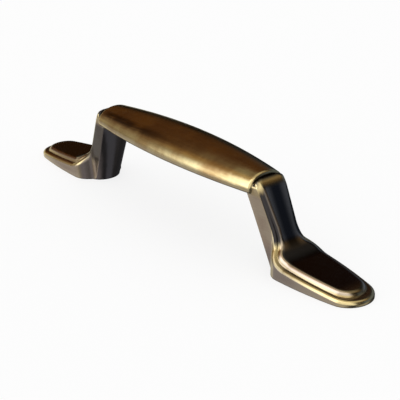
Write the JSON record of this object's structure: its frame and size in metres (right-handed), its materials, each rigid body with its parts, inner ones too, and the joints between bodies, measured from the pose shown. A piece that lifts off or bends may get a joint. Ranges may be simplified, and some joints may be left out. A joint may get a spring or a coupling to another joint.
{
  "type": "cabinet handle",
  "caption": "Bow handle for a drawer or cabinet door: barrel-shaped grip on two leaning legs that end in flat leaf-shaped feet with a raised panel.",
  "frame": {"origin": "on the face of the door or drawer, midway between the two screw holes", "axes": "+X along the handle, +Y across it, +Z away from the door"},
  "size_m": [0.127, 0.0152, 0.0226],
  "materials": {
    "antique_brass": "glossy antique brass over a cast body"
  },
  "bodies": {
    "root": {"handle": "antique_brass"}
  },
  "joints": []
}
